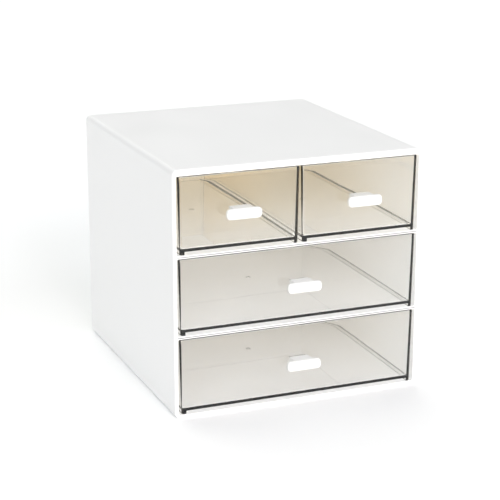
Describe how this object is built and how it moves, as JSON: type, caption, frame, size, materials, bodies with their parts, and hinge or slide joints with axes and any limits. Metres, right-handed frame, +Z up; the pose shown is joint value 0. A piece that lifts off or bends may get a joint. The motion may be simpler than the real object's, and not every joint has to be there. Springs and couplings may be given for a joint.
{
  "type": "desktop drawer cabinet",
  "caption": "White desktop cabinet with clear smoky drawers that slide out on runners by snap-in T-bar pulls.",
  "frame": {"origin": "centre of the case's base, on the surface that it stands on", "axes": "+Z up, the drawers open towards -Y, +X to the right as seen in the picture"},
  "size_m": [0.153, 0.174, 0.145],
  "materials": {
    "case_white": "fine satin moulded surface",
    "tray_smoke": "clear, lightly smoked, polished",
    "pull_white": "polished"
  },
  "bodies": {
    "case": {"cabinet_case": "case_white"},
    "top_left_drawer": {"top_left_tray": "tray_smoke", "top_left_pull": "pull_white"},
    "top_right_drawer": {"top_right_tray": "tray_smoke", "top_right_pull": "pull_white"},
    "middle_drawer": {"middle_tray": "tray_smoke", "middle_pull": "pull_white"},
    "bottom_drawer": {"bottom_tray": "tray_smoke", "bottom_pull": "pull_white"}
  },
  "joints": [
    {"name": "top_left_slide", "type": "slide", "parent": "case", "child": "top_left_drawer", "axis": [0, -1, 0], "range_m": [0, 0.13]},
    {"name": "top_right_slide", "type": "slide", "parent": "case", "child": "top_right_drawer", "axis": [0, -1, 0], "range_m": [0, 0.13]},
    {"name": "middle_slide", "type": "slide", "parent": "case", "child": "middle_drawer", "axis": [0, -1, 0], "range_m": [0, 0.13]},
    {"name": "bottom_slide", "type": "slide", "parent": "case", "child": "bottom_drawer", "axis": [0, -1, 0], "range_m": [0, 0.13]}
  ]
}
